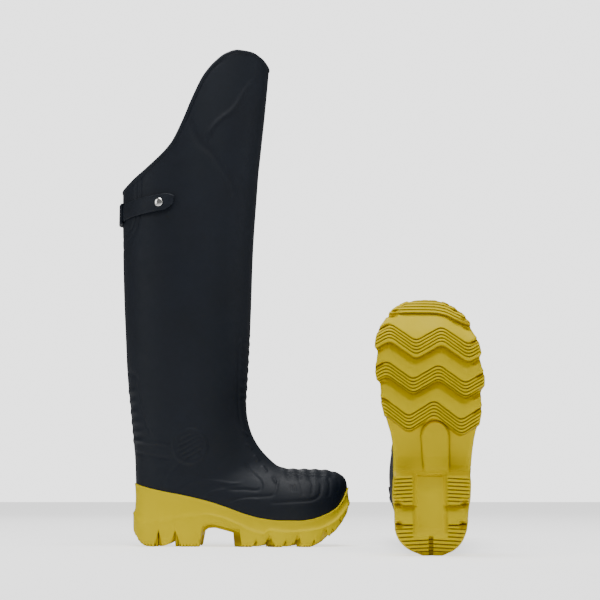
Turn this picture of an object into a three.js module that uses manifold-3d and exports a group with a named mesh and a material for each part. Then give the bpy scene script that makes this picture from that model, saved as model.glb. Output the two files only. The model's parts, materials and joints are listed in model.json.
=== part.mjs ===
// A pair of over-the-knee PVC deck boots with lugged outsoles and a snap strap behind each calf.
// The right boot stands; the left boot lies on its back beside it with its tread turned outwards.
// Millimetres, +Z up. Each boot is modelled in its own frame, heel back at x = 0, toe towards +X,
// floor at z = 0, outer side at -Y, and is placed in the pair at the end.
import * as THREE from 'three';
import { mergeVertices } from 'three/addons/utils/BufferGeometryUtils.js';
import Module from 'manifold-3d';

const wasm = await Module();
wasm.setup();

// driving dimensions
const gap = 0.3; // between pieces that touch
const upperWall = 2.5;
const liningWall = 1.2;
const toeCapWall = 1.8;
const plateThickness = 1;
const boardThickness = 1.6;
const footbedThickness = 4.5;
const bindingHeight = 5;
const bindingProud = 0.8;
const farOut = 400; // longer than any cut needs
const ringPoints = 16;

const strap = {
  width: 23,
  thickness: 2.6,
  backHeight: 464, // of its middle, behind the calf
  rise: 12, // how much higher its ends are than its middle
  standOff: { back: 0.8, snap: 4.6 },
  // angles round the calf from the middle of its back, in radians, outer side first
  tipAngle: 1.385,
  snapAngle: 1.165,
  bendAngle: 0.5, // where the tail folds away from the calf
  keeperAngle: 0.26,
  rivetAngle: 1.165,
  anchorAngle: 1.36,
};

const pairLayout = { acrossX: 380, treadY: -352, yaw: THREE.MathUtils.degToRad(-4.3) };

// materials
const material = (color, roughness, metalness = 0) =>
  new THREE.MeshStandardMaterial({ color, roughness, metalness });
const finishes = {
  navyPvc: material(0x141c28, 0.45),
  yellowPvc: material(0xe6c81e, 0.42),
  knit: material(0x2b2f36, 0.95),
  foam: material(0x30343a, 0.9),
  fibreBoard: material(0x8a6f4d, 0.85),
  steel: material(0x9a9c9e, 0.35, 1),
  nickel: material(0xc9cbcd, 0.2, 1),
};

// the foot and leg form: sections from the top of the shaft down and round to the toe
// front x, z and back x, z of the section, half width, shift to the inner side, where along the
// section it is widest, roundness of its front and of its back, share of sole, share of toe
const sections = [
  [184.5, 700, -24, 700, 52, 0, 0.5, 2, 2, 0, 0],
  [168.3, 500, -23, 500, 53, 0, 0.5, 2, 2, 0, 0],
  [161.4, 400, -22, 400, 54, 0, 0.5, 2, 2, 0, 0],
  [158, 300, -17.3, 300, 52, 0, 0.5, 2, 2, 0, 0],
  [155.4, 240, -13.5, 240, 49, 0, 0.5, 2, 2, 0, 0],
  [153.8, 204, -10, 204, 47, 0, 0.5, 2, 2.1, 0, 0],
  [154.2, 182, -6.5, 172, 46, 0, 0.51, 2, 2.2, 0, 0],
  [157.5, 164, -1.5, 140, 44.5, 0, 0.52, 2, 2.3, 0, 0],
  [163.5, 148, 0.8, 110, 43, 0, 0.54, 2, 2.4, 0, 0],
  [171, 135, 1.5, 80, 42, 0, 0.56, 2, 2.6, 0, 0],
  [180, 125, 8, 50, 41.5, -0.5, 0.58, 2, 2.8, 0.5, 0],
  [190, 116, 52, 40, 41.5, -1.5, 0.6, 2, 3, 1, 0],
  [201, 109, 105, 37, 43, -3, 0.64, 2, 3.2, 1, 0],
  [213, 106.3, 150, 27.5, 48.5, -3, 0.68, 2, 3.5, 1, 0],
  [227, 105.4, 190, 20.5, 53.5, -1.5, 0.7, 2, 3.5, 1, 0.2],
  [243, 105, 223, 20, 55.5, 0.5, 0.72, 2, 3.5, 1, 1],
  [259, 104.2, 250, 22.5, 51, 3, 0.72, 2.1, 3.2, 1, 1],
  [273, 102.5, 271, 28, 43.5, 4.5, 0.7, 2.2, 3, 1, 1],
  [284.5, 98.5, 284.5, 37, 33.5, 7, 0.66, 2.3, 2.6, 1, 1],
  [291.5, 93, 291.5, 50, 20, 8.5, 0.6, 2.3, 2.3, 1, 1],
  [294.5, 82, 294.5, 64, 7, 10, 0.5, 2, 2, 1, 1],
];

const rimCurve = new THREE.SplineCurve([
  [-30, 496], [-24, 501], [10, 528], [42, 565], [66, 613], [90, 664], [108, 685], [124, 696],
  [140, 700], [156, 697], [169, 689], [183, 669], [190, 655],
].map(([x, z]) => new THREE.Vector2(x, z)));

// Where the upper meets the outsole, seen from the side.
const featherLine = new THREE.SplineCurve([
  [-4, 86], [0, 85], [27, 76], [87, 64], [119, 56], [152, 44.6], [184, 36.5], [215, 33.5],
  [241, 35], [262, 42.5], [279, 53], [287, 63.5], [294.5, 80], [300, 86],
].map(([x, z]) => new THREE.Vector2(x, z)));

// Plan of the outsole as half widths: inner side, then outer side, from heel back to toe tip.
const innerEdge = new THREE.SplineCurve([
  [0, 0], [3, 15], [14, 32], [36, 41], [67, 41.5], [98, 39], [125, 41], [156, 49.5], [186, 57],
  [218, 61.5], [249, 60], [268, 54], [284, 45], [294, 29], [297, 11],
].map(([x, y]) => new THREE.Vector2(x, y)));
const outerEdge = new THREE.SplineCurve([
  [0, 0], [3, 15], [14, 30.5], [36, 40.5], [67, 43.5], [98, 41.5], [125, 48], [156, 57.5],
  [186, 61.5], [218, 60.5], [249, 55], [268, 46.5], [284, 30.5], [294, 10], [297, -11],
].map(([x, y]) => new THREE.Vector2(x, -y)));

// solids and cuts
function solidOf(geometry) {
  const bare = geometry.index ? geometry.toNonIndexed() : geometry.clone();
  bare.deleteAttribute('normal');
  bare.deleteAttribute('uv');
  const merged = mergeVertices(bare, 1e-3);
  const made = new wasm.Manifold(new wasm.Mesh({
    numProp: 3,
    vertProperties: merged.attributes.position.array,
    triVerts: new Uint32Array(merged.index.array),
  }));
  return made.volume() < 0 ? solidOf(turned(merged)) : made;
}

function turned(geometry) {
  const index = geometry.index.array;
  for (let i = 0; i < index.length; i += 3) [index[i + 1], index[i + 2]] = [index[i + 2], index[i + 1]];
  return geometry;
}

function geometryOf(solid) {
  const { numProp, vertProperties, triVerts } = solid.getMesh();
  const position = new Float32Array(vertProperties.length / numProp * 3);
  for (let v = 0; v * 3 < position.length; v++) {
    position.set(vertProperties.subarray(v * numProp, v * numProp + 3), v * 3);
  }
  const geometry = new THREE.BufferGeometry();
  geometry.setAttribute('position', new THREE.BufferAttribute(position, 3));
  geometry.setIndex(new THREE.BufferAttribute(new Uint32Array(triVerts), 1));
  geometry.computeVertexNormals();
  return geometry;
}

// Rings of points joined in order, each end closed by a fan.
function loft(rings) {
  const fan = rings[0].slice(2).map((point, i) => [0, i + 1, i + 2]);
  return loftBent(rings, fan);
}

// The same for rings that aren't convex, with the triangles that close an end.
function loftBent(rings, end) {
  const count = rings[0].length;
  const points = rings.flat();
  const faces = [];
  for (let r = 0; r + 1 < rings.length; r++) {
    for (let i = 0; i < count; i++) {
      const j = (i + 1) % count;
      const [a, b, c, d] = [r * count + i, r * count + j, (r + 1) * count + j, (r + 1) * count + i];
      faces.push(a, b, c, a, c, d);
    }
  }
  const last = (rings.length - 1) * count;
  for (const [a, b, c] of end) faces.push(a, c, b, last + a, last + b, last + c);
  const geometry = new THREE.BufferGeometry().setFromPoints(points);
  geometry.setIndex(faces);
  return solidOf(geometry);
}

// A side view outline of [x, z] points, right through the boot from side to side.
function acrossBoot(outline, from = -farOut / 2, to = farOut / 2) {
  const shape = new THREE.Shape(outline.map(([x, z]) => new THREE.Vector2(x, z)));
  const geometry = new THREE.ExtrudeGeometry(shape, { depth: to - from, bevelEnabled: false });
  geometry.rotateX(Math.PI / 2);
  geometry.translate(0, to, 0);
  return solidOf(geometry);
}

// A plan outline of [x, y] points between two heights.
function upright(outline, from, to) {
  const shape = new THREE.Shape(outline.map(([x, y]) => new THREE.Vector2(x, y)));
  const geometry = new THREE.ExtrudeGeometry(shape, { depth: to - from, bevelEnabled: false });
  geometry.translate(0, 0, from);
  return solidOf(geometry);
}

const pairs = (curve, count) => curve.getPoints(count).map((p) => [p.x, p.y]);

// the form at any inset: under 0 is outside the upper's skin
function ring(row, { all, sole = 0, toe = 0 }) {
  const [frontX, frontZ, backX, backZ, halfWidth, shift, widest, frontPower, backPower, soleShare, toeShare] = row;
  const front = new THREE.Vector2(frontX, frontZ);
  const back = new THREE.Vector2(backX, backZ);
  const along = back.clone().sub(front).normalize();
  const inset = all + toe * toeShare;
  front.addScaledVector(along, inset);
  back.addScaledVector(along, -(inset + sole * soleShare));
  const pullBack = inset * THREE.MathUtils.smoothstep(frontX, 259, 294.5);
  const points = [];
  for (let i = 0; i < ringPoints; i++) {
    const angle = i / ringPoints * 2 * Math.PI;
    const across = Math.abs(Math.sin(angle));
    const lengthwise = Math.abs(Math.cos(angle));
    const ahead = Math.cos(angle) > 0;
    const power = 2 / (ahead ? frontPower : backPower);
    const t = ahead ? widest * (1 - lengthwise ** power) : widest + (1 - widest) * lengthwise ** power;
    const side = angle < Math.PI ? -1 : 1;
    const y = shift + side * Math.max(halfWidth - inset, 1) * across ** power;
    const place = front.clone().lerp(back, t);
    points.push(new THREE.Vector3(place.x - pullBack, y, place.y));
  }
  return points;
}

const form = (inset) => loft(sections.map((row) => ring(row, inset)));

// Everything under the rim, lowered square to the rim by `drop`.
function underRim(drop) {
  const steps = 22;
  const edge = [];
  for (let i = 0; i <= steps; i++) {
    const p = rimCurve.getPoint(i / steps);
    const tangent = rimCurve.getTangent(i / steps);
    edge.push([p.x + tangent.y * drop, p.y - tangent.x * drop]);
  }
  const [startX, startZ] = edge[0];
  const [endX, endZ] = edge[edge.length - 1];
  return acrossBoot([[startX - farOut / 8, -20], [startX - farOut / 8, startZ - 40], ...edge,
    [endX + farOut / 2, endZ], [endX + farOut / 2, -20]]);
}

// the strap behind the calf
// The section at the strap's height gives the way round; angle 0 is the middle of the back.
const strapSection = {
  centreX: 71.7,
  halfDepth: 94.6,
  halfWidth: 53.4,
};

function strapPlace(angle, out, up) {
  const { centreX, halfDepth, halfWidth } = strapSection;
  const x = -Math.cos(angle) * halfDepth;
  const y = -Math.sin(angle) * halfWidth;
  const normal = new THREE.Vector2(x / halfDepth ** 2, y / halfWidth ** 2).normalize();
  const share = Math.abs(angle) / strap.tipAngle;
  return new THREE.Vector3(centreX + x + normal.x * out, y + normal.y * out,
    strap.backHeight + strap.rise * share ** 1.3 + up);
}

const offCalf = (angle) => {
  const share = THREE.MathUtils.smoothstep(angle, 0.35, strap.snapAngle);
  return THREE.MathUtils.lerp(strap.standOff.back, strap.standOff.snap, share);
};

// Part of the strap between two angles, narrowed towards a tip where `taper` says.
function strapLength(from, to, steps, taper = () => 1) {
  const rings = [];
  for (let i = 0; i <= steps; i++) {
    const angle = from + (to - from) * i / steps;
    const half = strap.width / 2 * taper(angle);
    const inner = offCalf(angle);
    const outer = inner + strap.thickness;
    rings.push([strapPlace(angle, inner, -half), strapPlace(angle, inner, half),
      strapPlace(angle, outer, half), strapPlace(angle, outer, -half)]);
  }
  return loft(rings);
}

// A loop round the strap behind the calf, open at its sides where the strap runs through.
const keeperOut = {
  inner: strap.standOff.back + strap.thickness + gap,
  outer: strap.standOff.back + strap.thickness + gap + 1.8,
};

function keeper() {
  const rings = [];
  const steps = 4;
  const half = strap.width / 2 + 3 * gap;
  for (let i = 0; i <= steps; i++) {
    const angle = strap.keeperAngle * (2 * i / steps - 1);
    const at = (out, up) => strapPlace(angle, out, up);
    const foot = gap; // its feet rest on the upper
    rings.push([at(foot, half), at(foot, half + 2.4), at(keeperOut.outer, half + 2.4),
      at(keeperOut.outer, -half - 2.4), at(foot, -half - 2.4), at(foot, -half), at(keeperOut.inner, -half),
      at(keeperOut.inner, half)]);
  }
  return loftBent(rings, [[0, 1, 2], [0, 2, 7], [7, 2, 3], [7, 3, 6], [6, 3, 4], [6, 4, 5]]);
}

// A turned piece whose profile is [radius, distance out from the calf], at an angle round the calf.
function turnedAt(angle, profile, segments = 12) {
  const points = profile.map(([r, out]) => new THREE.Vector2(r, out));
  const geometry = new THREE.LatheGeometry(points, segments);
  const start = strapPlace(angle, 0, 0);
  const direction = strapPlace(angle, 1, 0).sub(start);
  geometry.applyQuaternion(new THREE.Quaternion().setFromUnitVectors(new THREE.Vector3(0, 1, 0), direction));
  geometry.translate(start.x, start.y, start.z);
  return solidOf(geometry);
}

// one boot's pieces, as solids
function bootSolids() {
  const upperInside = form({ all: upperWall });
  const liningOut = upperWall + gap;
  const underFoot = plateThickness + boardThickness + 2 * gap;
  const capRoom = toeCapWall + gap;
  const ease = 0.45; // the lining is cut a little smaller than the upper
  const lined = (all) => form({ all: all + ease, sole: underFoot, toe: capRoom });
  const bodyTrim = underRim(bindingHeight + gap);

  const snapOut = strap.standOff.snap;
  const hole = (angle, radius) => turnedAt(angle, [[0, -20], [radius, -20], [radius, 20], [0, 20]], 10);
  const snapHole = hole(strap.snapAngle, 2.2);
  const rivetHole = hole(-strap.rivetAngle, 2.2);

  const upper = form({ all: 0 }).subtract(upperInside).intersect(bodyTrim)
    .subtract(snapHole).subtract(rivetHole);
  const lining = lined(liningOut).subtract(lined(liningOut + liningWall)).intersect(bodyTrim)
    .subtract(snapHole).subtract(rivetHole);
  const binding = form({ all: -bindingProud }).subtract(form({ all: liningOut + liningWall + 2 * bindingProud }))
    .intersect(underRim(0)).subtract(underRim(bindingHeight));

  // Under the foot: thin layers that follow the bottom of the form, low to high.
  const bottom = sections.filter((row) => row[9] > 0).map(([, , x, z]) => [x, z]);
  const layer = (low, high) => {
    const under = bottom.map(([x, z]) => [x, z + low]);
    const over = bottom.map(([x, z]) => [x, z + high]).reverse();
    return acrossBoot([...under, ...over]);
  };
  const liningRoom = form({ all: liningOut - gap, sole: underFoot, toe: capRoom });
  const plateLow = upperWall + gap;
  const boardLow = plateLow + plateThickness + gap;
  const insideUpper = form({ all: upperWall + gap });
  const midsolePlate = layer(plateLow, plateLow + plateThickness)
    .intersect(form({ all: upperWall + gap + 3.5, sole: -3.5 })).subtract(liningRoom);
  const insoleBoard = layer(boardLow, boardLow + boardThickness).intersect(insideUpper).subtract(liningRoom);
  const footbedLow = boardLow + boardThickness + liningWall + 3 * gap;
  const footbed = layer(footbedLow, footbedLow + footbedThickness).intersect(lined(liningOut + liningWall + gap));

  const capFront = acrossBoot([[238, 27], [244, 110], [310, 120], [310, 26]]);
  const toeCap = insideUpper.subtract(form({ all: upperWall + gap + toeCapWall })).intersect(capFront)
    .subtract(layer(0, boardLow + boardThickness + gap)).subtract(liningRoom);

  return {
    outsole: outsole(),
    midsole_plate: midsolePlate,
    insole_board: insoleBoard,
    footbed,
    toe_cap: toeCap,
    upper,
    lining,
    top_binding: binding,
    ...strapSolids(snapOut),
  };
}

function strapSolids(snapOut) {
  const tip = (angle) => {
    const share = THREE.MathUtils.clamp((angle - strap.tipAngle + 0.2) / 0.2, 0, 1);
    return 1 - 0.55 * share ** 2;
  };
  const split = 0.003; // half the gap between the two lengths, in radians
  const outer = snapOut + strap.thickness;
  const strapHole = turnedAt(strap.snapAngle, [[0, 0], [2.2, 0], [2.2, outer + 5], [0, outer + 5]], 10);
  const anchorOut = offCalf(0) + strap.thickness;
  const anchorHole = turnedAt(-strap.rivetAngle, [[0, -5], [2.2, -5], [2.2, 12], [0, 12]], 10);
  const inside = -(upperWall + liningWall + gap * 6);

  return {
    strap_tail: strapLength(strap.bendAngle + split, strap.tipAngle, 10, tip).subtract(strapHole),
    strap_anchor: strapLength(strap.bendAngle - split, -strap.anchorAngle, 10).subtract(anchorHole),
    strap_keeper: keeper(),
    snap_cap: turnedAt(strap.snapAngle, [[0, snapOut + gap], [1.7, snapOut + gap], [1.7, outer + gap],
      [6, outer + gap], [6, outer + 1.1], [4.6, outer + 2.1], [2.4, outer + 2.6], [0, outer + 2.7]]),
    snap_socket: turnedAt(strap.snapAngle, [[3.9, snapOut - gap], [3.9, snapOut - 2.6], [5.2, snapOut - 2.6],
      [5.2, snapOut - gap], [3.9, snapOut - gap]]),
    snap_stud: turnedAt(strap.snapAngle, [[0, gap], [4.6, gap], [4.6, 1.2], [1.7, 1.4], [1.7, 2], [2.3, 2.4],
      [2.3, 3], [1.6, 3.4], [0, 3.4]]),
    snap_post: turnedAt(strap.snapAngle, [[0, inside - 1], [4.6, inside - 1], [4.6, inside], [1.7, inside],
      [1.7, 0], [0, 0]]),
    strap_rivet: turnedAt(-strap.rivetAngle, [[0, inside - 0.7], [1.7, inside - 0.7], [1.7, anchorOut + gap],
      [5, anchorOut + gap], [5, anchorOut + 1], [3, anchorOut + 1.8], [0, anchorOut + 2]]),
    rivet_washer: turnedAt(-strap.rivetAngle, [[2, inside], [2, inside - 1.2], [5, inside - 1.2], [5, inside],
      [2, inside]]),
  };
}

// the outsole: plan outline, side profile, room for the upper, and the tread
const heelBackLow = 36; // above this the back of the heel is upright
const treadWave = { length: 58.5, rise: 7.6, crest: -10, slant: 0.07 };
const wave = (y) =>
  treadWave.rise * Math.cos(2 * Math.PI * (y - treadWave.crest) / treadWave.length) + treadWave.slant * y;
const toeRidge = (y) => (y > -12 ? 280 : 280 + (y + 12) * 0.45);
// heel side, toe side, and how high the toe side rises
const treadChannels = [
  [(y) => 172 + wave(y), (y) => 197 + wave(y), 9],
  [(y) => 215 + wave(y), (y) => 238 + wave(y), 10],
  [(y) => 259 + wave(y), toeRidge, 31],
];

function outsole() {
  const plan = [...pairs(innerEdge, 24), ...pairs(outerEdge, 24).reverse().slice(1, -1)];
  const side = [
    [-6, heelBackLow], [0, heelBackLow], [1.5, 24], [7, 9], [16, 0], [92, 0], [97, 12], [101, 25], [108, 31], [119, 30],
    [135, 26], [150, 20], [154, 12], [158, 2], [161, 0], [229, 0], [248, 4], [261, 11], [273, 20],
    [285, 32], [292, 42], [296, 54], [302, 60], ...pairs(featherLine, 22).reverse(),
  ];
  const heelChannel = acrossBoot([[39, -1], [51, -1], [47, 10], [43, 12]]);
  const heelHollow = upright([[40, -18], [28, -10], [24, 0], [28, 10], [40, 18], [104, 18], [104, -18]], -1, 8);
  const heelNotch = upright([[-5, -4], [26, -4], [26, 4], [-5, 4]], -1, 9);
  let made = upright(plan, -1, 90).intersect(acrossBoot(side)).subtract(form({ all: -gap }))
    .subtract(heelChannel).subtract(heelHollow).subtract(heelNotch);
  for (const channel of treadChannels) made = made.subtract(waveChannel(...channel));
  return made;
}

// A channel across the tread that slopes from nothing at its heel side to a step at its toe side.
function waveChannel(heelEdge, toeEdge, height) {
  const steps = 14;
  const rings = [];
  for (let i = 0; i <= steps; i++) {
    const y = -70 + 140 * i / steps;
    const [from, to] = [heelEdge(y), toeEdge(y)];
    const bottom = (x) => THREE.MathUtils.smoothstep(x, 228, 300) * 48;
    rings.push([new THREE.Vector3(from, y, -8), new THREE.Vector3(to, y, -8), new THREE.Vector3(to, y, height),
      new THREE.Vector3(from, y, Math.min(bottom(from), height - 4))]);
  }
  return loft(rings);
}

// the pair
const finishOf = {
  outsole: finishes.yellowPvc, midsole_plate: finishes.steel, insole_board: finishes.fibreBoard,
  footbed: finishes.foam, toe_cap: finishes.steel, upper: finishes.navyPvc, lining: finishes.knit,
  top_binding: finishes.navyPvc, strap_tail: finishes.navyPvc, strap_anchor: finishes.navyPvc,
};

function boot(side, solids) {
  const group = new THREE.Group();
  for (const [name, solid] of Object.entries(solids)) {
    const mesh = new THREE.Mesh(geometryOf(solid), finishOf[name] ?? finishes.nickel);
    mesh.name = `${side}_${name}`;
    group.add(mesh);
  }
  return group;
}

const solids = bootSolids();
const rightBoot = boot('right', solids);
const leftBoot = boot('left', solids);

// The left boot is the right one mirrored, laid on the back of its heel and calf.
leftBoot.scale.y = -1;
const heelToKeeper = new THREE.Vector2(strapPlace(0, keeperOut.outer, 0).x, strap.backHeight - heelBackLow);
const layBack = new THREE.Matrix4().makeBasis(
  new THREE.Vector3(0, 0, 1), new THREE.Vector3(1, 0, 0), new THREE.Vector3(0, 1, 0));
const tilt = new THREE.Matrix4().makeRotationX(Math.atan2(-heelToKeeper.x, heelToKeeper.y));
const turn = new THREE.Matrix4().makeRotationZ(pairLayout.yaw);
const lying = new THREE.Group();
lying.applyMatrix4(turn.multiply(tilt).multiply(layBack));
lying.add(leftBoot);
const lyingBox = new THREE.Box3().setFromObject(lying, true);
lying.position.set(pairLayout.acrossX, pairLayout.treadY, -lyingBox.min.z);

const pair = new THREE.Group();
pair.add(rightBoot, lying);
const pairBox = new THREE.Box3().setFromObject(pair, true);
const middle = pairBox.getCenter(new THREE.Vector3());
pair.position.set(-middle.x, -middle.y, -pairBox.min.z);
const root = new THREE.Group();
root.add(pair);

export default root;
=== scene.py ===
import json
import math
import bmesh
import bpy
import numpy as np
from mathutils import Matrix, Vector


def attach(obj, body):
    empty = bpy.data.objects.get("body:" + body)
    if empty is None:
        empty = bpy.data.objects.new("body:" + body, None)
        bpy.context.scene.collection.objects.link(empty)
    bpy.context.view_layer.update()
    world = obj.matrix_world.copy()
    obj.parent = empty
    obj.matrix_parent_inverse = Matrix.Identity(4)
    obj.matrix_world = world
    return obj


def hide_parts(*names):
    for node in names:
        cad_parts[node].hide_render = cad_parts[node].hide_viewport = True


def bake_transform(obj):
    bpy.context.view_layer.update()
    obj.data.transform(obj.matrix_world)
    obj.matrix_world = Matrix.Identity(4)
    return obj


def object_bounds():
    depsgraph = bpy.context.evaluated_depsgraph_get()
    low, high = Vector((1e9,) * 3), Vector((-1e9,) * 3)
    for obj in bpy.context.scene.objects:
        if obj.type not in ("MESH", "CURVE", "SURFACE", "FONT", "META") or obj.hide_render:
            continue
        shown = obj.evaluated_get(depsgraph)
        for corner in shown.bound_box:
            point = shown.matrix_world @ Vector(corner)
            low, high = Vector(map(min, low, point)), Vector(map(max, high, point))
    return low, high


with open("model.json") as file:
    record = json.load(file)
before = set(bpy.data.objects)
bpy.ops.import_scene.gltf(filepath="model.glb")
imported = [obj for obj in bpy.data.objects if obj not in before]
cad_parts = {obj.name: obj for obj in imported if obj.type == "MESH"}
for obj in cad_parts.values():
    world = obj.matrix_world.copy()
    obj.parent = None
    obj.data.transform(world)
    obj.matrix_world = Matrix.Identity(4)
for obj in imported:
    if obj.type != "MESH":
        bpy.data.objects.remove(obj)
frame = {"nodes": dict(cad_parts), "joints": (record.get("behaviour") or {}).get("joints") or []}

# A pair of over-knee PVC deck boots. Every shape is worked out in one boot's own frame, in millimetres: the
# back of the heel at x 0, the toe along +x, the floor at z 0 and the outer side at -y. It is then put where
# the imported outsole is: the right boot as it is, the left one mirrored.

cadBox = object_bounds()
scene = bpy.context.scene
sides = ("right", "left")


def bootPlace(side):
    # axes of the boot's frame in the model's frame; the left boot's shaft runs along its strap's hinge
    if side == "right":
        x, y, z = Vector((1, 0, 0)), Vector((0, 1, 0)), Vector((0, 0, 1))
    else:
        hinge = next(j for j in frame["joints"] if j["name"] == "left_strap_open")
        z = Vector(hinge["axis"]).normalized()
        x = (Vector((0, 0, 1)) - z * z.z).normalized()
        y = -z.cross(x)
    turn = np.array([x, y, z]).T
    mesh = frame["nodes"][side + "_outsole"].data
    points = np.zeros(len(mesh.vertices) * 3, np.float32)
    mesh.vertices.foreach_get("co", points)
    local = points.reshape(-1, 3) @ turn
    low, high = local.min(0), local.max(0)
    return turn, turn @ np.array([low[0], (low[1] + high[1]) / 2, low[2]])


places = {side: bootPlace(side) for side in sides}


def toModel(side, points):
    # from the boot's own millimetres to the model's metres
    turn, origin = places[side]
    return np.asarray(points, float) / 1000 @ turn.T + origin


def throughPoints(keys, values, at):
    # a smooth curve through points that never overshoots them: cubic pieces whose slopes are
    # the harmonic means of the slopes on each side
    keys, values, at = (np.asarray(a, float) for a in (keys, values, at))
    if keys[0] > keys[-1]:
        keys, values = keys[::-1], values[::-1]
    if values.ndim > 1:
        return np.stack([throughPoints(keys, values[:, i], at) for i in range(values.shape[1])], -1)
    step = np.diff(keys)
    rise = np.diff(values) / step
    slope = np.zeros_like(values)
    a, b = rise[:-1], rise[1:]
    same = a * b > 0
    w1, w2 = 2 * step[1:] + step[:-1], step[1:] + 2 * step[:-1]
    slope[1:-1][same] = (w1 + w2)[same] / (w1[same] / a[same] + w2[same] / b[same])
    slope[0], slope[-1] = rise[0], rise[-1]
    at = np.clip(at, keys[0], keys[-1])
    i = np.clip(np.searchsorted(keys, at, side="right") - 1, 0, len(step) - 1)
    t = (at - keys[i]) / step[i]
    h00, h10 = 2 * t**3 - 3 * t**2 + 1, t**3 - 2 * t**2 + t
    h01, h11 = -2 * t**3 + 3 * t**2, t**3 - t**2
    return h00 * values[i] + h10 * step[i] * slope[i] + h01 * values[i + 1] + h11 * step[i] * slope[i + 1]


def curve(table, at):
    # the same curve from a table of pairs
    return throughPoints(*zip(*table), at)


def lengthAlong(points):
    # distance from a line's first point to each of its points
    return np.concatenate([[0], np.cumsum(np.hypot(*np.diff(points, axis=0).T))])


def turns(count):
    # angles once round, in even steps
    return np.arange(count) / count * 2 * np.pi


def soften(values, width):
    # running average with bell weights along the first axis, carried straight on past its ends
    reach = int(width * 3)
    weights = np.exp(-0.5 * (np.arange(-reach, reach + 1) / width) ** 2)
    weights /= weights.sum()
    before, after = 2 * values[:1] - values[reach:0:-1], 2 * values[-1:] - values[-2:-reach - 2:-1]
    padded = np.concatenate([before, values, after])
    flat = padded.reshape(len(padded), -1)
    out = np.stack([np.convolve(flat[:, i], weights, "valid") for i in range(flat.shape[1])], -1)
    return out.reshape(values.shape)


def softenRound(values, width):
    # the same for a line that closes on itself
    wrap = 7 * width
    return soften(np.concatenate([values[-wrap:], values, values[:wrap]]), width)[wrap:-wrap]


def ease(low, high, value):
    # 0 below low, 1 above high, smooth between
    t = np.clip((value - low) / (high - low), 0, 1)
    return t * t * (3 - 2 * t)


def bell(distance, width):
    # 1 on a line, falling away on both sides as a bell does
    return np.exp(-(distance / width) ** 2)


def meshFrom(name, side, points, quads, triangles=(), around=None):
    # one closed surface from a list of points and its faces, turned so that its volume is positive
    quads = np.asarray(quads, np.int64).reshape(-1, 4)
    triangles = np.asarray(triangles, np.int64).reshape(-1, 3)
    placed = toModel(side, points)
    corners = np.concatenate([triangles, quads[:, :3], quads[:, [0, 2, 3]]])
    a, b, c = (placed[corners[:, i]] for i in range(3))
    if np.einsum("ij,ij->i", a, np.cross(b, c)).sum() < 0:
        quads, triangles = quads[:, ::-1], triangles[:, ::-1]
    loops = np.concatenate([quads.ravel(), triangles.ravel()]).astype(np.int32)
    totals = np.concatenate([np.full(len(quads), 4), np.full(len(triangles), 3)])
    starts = np.concatenate([[0], np.cumsum(totals)[:-1]]).astype(np.int32)
    mesh = bpy.data.meshes.new(name)
    mesh.vertices.add(len(points))
    mesh.vertices.foreach_set("co", placed.astype(np.float32).ravel())
    mesh.loops.add(len(loops))
    mesh.loops.foreach_set("vertex_index", loops)
    mesh.polygons.add(len(starts))
    mesh.polygons.foreach_set("loop_start", starts)
    mesh.update(calc_edges=True)
    mesh.validate()
    mesh.polygons.foreach_set("use_smooth", np.ones(len(mesh.polygons), bool))
    if around is not None:
        layer = mesh.uv_layers.new(name="UVMap")
        index = np.zeros(len(mesh.loops), np.int32)
        mesh.loops.foreach_get("vertex_index", index)
        layer.data.foreach_set("uv", np.asarray(around, np.float32)[index].ravel())
    piece = bpy.data.objects.new(name, mesh)
    scene.collection.objects.link(piece)
    return piece


def ringQuads(rows, columns, first=0):
    # faces between each ring of points and the next
    i, j = np.meshgrid(np.arange(rows - 1), np.arange(columns), indexing="ij")
    here, beside = i * columns + j, i * columns + (j + 1) % columns
    return first + np.stack([here, beside, beside + columns, here + columns], -1).reshape(-1, 4)


def fan(ring, centre, turned=False):
    # triangles from a ring of points to the one at its middle
    ring = np.asarray(ring)
    faces = np.stack([np.full(len(ring), centre), ring, np.roll(ring, -1)], -1)
    return faces[:, ::-1] if turned else faces


def tube(name, side, rings, around=None):
    # rings of points joined in order; both ends are closed by a fan to their middle
    rows, columns = rings.shape[:2]
    n = rows * columns
    points = np.concatenate([rings.reshape(-1, 3), rings[:1].mean(1), rings[-1:].mean(1)])
    triangles = np.concatenate([fan(np.arange(columns), n, True), fan(np.arange(n - columns, n), n + 1)])
    if around is not None:
        flat = around.reshape(-1, 2)
        around = np.concatenate([flat, flat[:1], flat[-1:]])
    return meshFrom(name, side, points, ringQuads(rows, columns), triangles, around)


def hoop(name, side, rings):
    # the same for rings whose last joins the first again
    rows, columns = rings.shape[:2]
    quads = ringQuads(rows + 1, columns) % (rows * columns)
    return meshFrom(name, side, rings.reshape(-1, 3), quads)


def outwards(grid):
    # unit normals of a grid closed along its second axis
    along = np.gradient(grid, axis=0)
    across = np.roll(grid, -1, 1) - np.roll(grid, 1, 1)
    normal = np.cross(across, along)
    return normal / np.maximum(np.linalg.norm(normal, axis=-1, keepdims=True), 1e-9)


def distanceTo(points, x, z):
    # distance in the side view from each place to a line smoothed through points, and how far along it is
    points = np.asarray(points, float)
    length = lengthAlong(points)
    fine = throughPoints(length, points, np.linspace(0, length[-1], max(int(length[-1] / 2.5), 8)))
    best = np.full(x.shape, 1e9)
    share = np.zeros(x.shape)
    for i, (a, b) in enumerate(zip(fine[:-1], fine[1:])):
        d = b - a
        t = np.clip(((x - a[0]) * d[0] + (z - a[1]) * d[1]) / (d @ d), 0, 1)
        gap = np.hypot(x - a[0] - t * d[0], z - a[1] - t * d[1])
        nearer = gap < best
        best = np.where(nearer, gap, best)
        share = np.where(nearer, (i + t) / (len(fine) - 1), share)
    return best, share


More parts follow.
